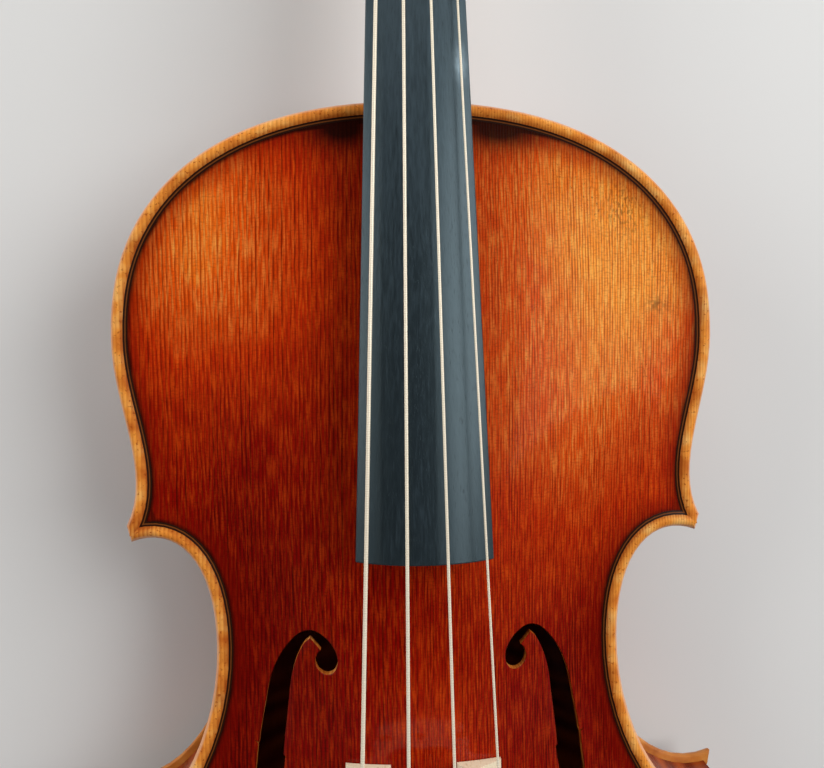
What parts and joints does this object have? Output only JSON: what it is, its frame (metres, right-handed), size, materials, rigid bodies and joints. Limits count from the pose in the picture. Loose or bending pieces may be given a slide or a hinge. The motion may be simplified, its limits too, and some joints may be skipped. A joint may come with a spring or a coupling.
{
  "type": "viola",
  "caption": "Viola with arched plates, f-shaped sound holes, ebony fingerboard, turning pegs, a fine tuner and a clamped chin rest.",
  "frame": {"origin": "middle of the bounding box in X and Y, on the level of the back's crown, its lowest point", "axes": "+X to the treble side (A string), +Y from the body to the scroll, +Z out of the belly"},
  "size_m": [0.249, 0.6824, 0.1073],
  "materials": {
    "spruce_varnish": "glossy oil varnish over fine vertical spruce grain",
    "maple_varnish": "glossy oil varnish over flamed maple",
    "neck_maple": "oiled maple shaft, varnished pegbox and scroll",
    "raw_spruce": "bare planed spruce or willow",
    "purfling_wood": "dark inlaid strips with a lighter middle",
    "ebony": "oiled satin ebony",
    "bridge_maple": "bare satin maple",
    "string_metal": "fine metal winding",
    "clamp_metal": "bright nickel plate",
    "cork": "cork sheet",
    "tailgut_cord": "synthetic cord"
  },
  "bodies": {
    "instrument": {"belly": "spruce_varnish", "back": "maple_varnish", "rib_upper_treble": "maple_varnish", "rib_upper_bass": "maple_varnish", "rib_centre_treble": "maple_varnish", "rib_centre_bass": "maple_varnish", "rib_lower_treble": "maple_varnish", "rib_lower_bass": "maple_varnish", "neck_and_scroll": "neck_maple", "bass_bar": "raw_spruce", "sound_post": "raw_spruce", "neck_block": "raw_spruce", "end_block": "raw_spruce", "upper_corner_block_treble": "raw_spruce", "upper_corner_block_bass": "raw_spruce", "lower_corner_block_treble": "raw_spruce", "lower_corner_block_bass": "raw_spruce", "lining_top_upper_treble": "raw_spruce", "lining_top_upper_bass": "raw_spruce", "lining_top_centre_treble": "raw_spruce", "lining_top_centre_bass": "raw_spruce", "lining_top_lower_treble": "raw_spruce", "lining_top_lower_bass": "raw_spruce", "lining_bottom_upper_treble": "raw_spruce", "lining_bottom_upper_bass": "raw_spruce", "lining_bottom_centre_treble": "raw_spruce", "lining_bottom_centre_bass": "raw_spruce", "lining_bottom_lower_treble": "raw_spruce", "lining_bottom_lower_bass": "raw_spruce", "purfling_belly_treble": "purfling_wood", "purfling_belly_bass": "purfling_wood", "purfling_back": "purfling_wood", "fingerboard": "ebony", "nut": "ebony", "saddle": "ebony", "tailpiece": "ebony", "tailpiece_fret": "ebony", "end_button": "ebony", "chinrest": "ebony", "bridge": "bridge_maple", "string_c": "string_metal", "string_g": "string_metal", "string_d": "string_metal", "string_a": "string_metal", "tuner_body": "clamp_metal", "tuner_nut": "clamp_metal", "clamp_bracket": "clamp_metal", "chinrest_cork": "cork", "tailgut": "tailgut_cord"},
    "peg_c": {"peg_c": "ebony"},
    "peg_g": {"peg_g": "ebony"},
    "peg_d": {"peg_d": "ebony"},
    "peg_a": {"peg_a": "ebony"},
    "tuner_screw": {"tuner_screw": "clamp_metal"},
    "tuner_lever": {"tuner_lever": "clamp_metal"},
    "clamp_barrel_inner": {"clamp_barrel_inner": "clamp_metal"},
    "clamp_barrel_outer": {"clamp_barrel_outer": "clamp_metal"},
    "clamp_foot": {"clamp_foot": "clamp_metal", "clamp_cork": "cork"}
  },
  "joints": [
    {"name": "peg_c_turn", "type": "hinge", "parent": "instrument", "child": "peg_c", "pos_m": [0, 0.24697, 0.03578], "axis": [-1, 0, 0], "continuous": true},
    {"name": "peg_g_turn", "type": "hinge", "parent": "instrument", "child": "peg_g", "pos_m": [0, 0.27737, 0.02637], "axis": [-1, 0, 0], "continuous": true},
    {"name": "peg_d_turn", "type": "hinge", "parent": "instrument", "child": "peg_d", "pos_m": [0, 0.29257, 0.0195], "axis": [1, 0, 0], "continuous": true},
    {"name": "peg_a_turn", "type": "hinge", "parent": "instrument", "child": "peg_a", "pos_m": [0, 0.26217, 0.03182], "axis": [1, 0, 0], "continuous": true},
    {"name": "tuner_screw_turn", "type": "hinge", "parent": "instrument", "child": "tuner_screw", "pos_m": [0.015, -0.20843, 0.08691], "axis": [-0.4342, 0.1767, -0.8833], "range_deg": [0, 720]},
    {"name": "tuner_lever_tilt", "type": "hinge", "parent": "instrument", "child": "tuner_lever", "pos_m": [0.01396, -0.19384, 0.08762], "axis": [0.9008, 0.0852, -0.4258], "range_deg": [0, 4]},
    {"name": "clamp_barrel_inner_turn", "type": "hinge", "parent": "instrument", "child": "clamp_barrel_inner", "pos_m": [-0.03755, -0.33438, 0.0353], "axis": [0, 0, 1], "range_deg": [0, 1080]},
    {"name": "clamp_barrel_outer_turn", "type": "hinge", "parent": "instrument", "child": "clamp_barrel_outer", "pos_m": [-0.0647, -0.32754, 0.0353], "axis": [0, 0, 1], "range_deg": [0, 1080]},
    {"name": "clamp_foot_drop", "type": "slide", "parent": "instrument", "child": "clamp_foot", "axis": [0, 0, -1], "range_m": [0, 0.003]}
  ],
  "couplings": [
    {"joint": "tuner_lever_tilt", "follows": "tuner_screw_turn", "ratio": 0.0055},
    {"joint": "clamp_barrel_inner_turn", "follows": "clamp_foot_drop", "rad_per_m": 6283.2},
    {"joint": "clamp_barrel_outer_turn", "follows": "clamp_foot_drop", "rad_per_m": 6283.2}
  ]
}
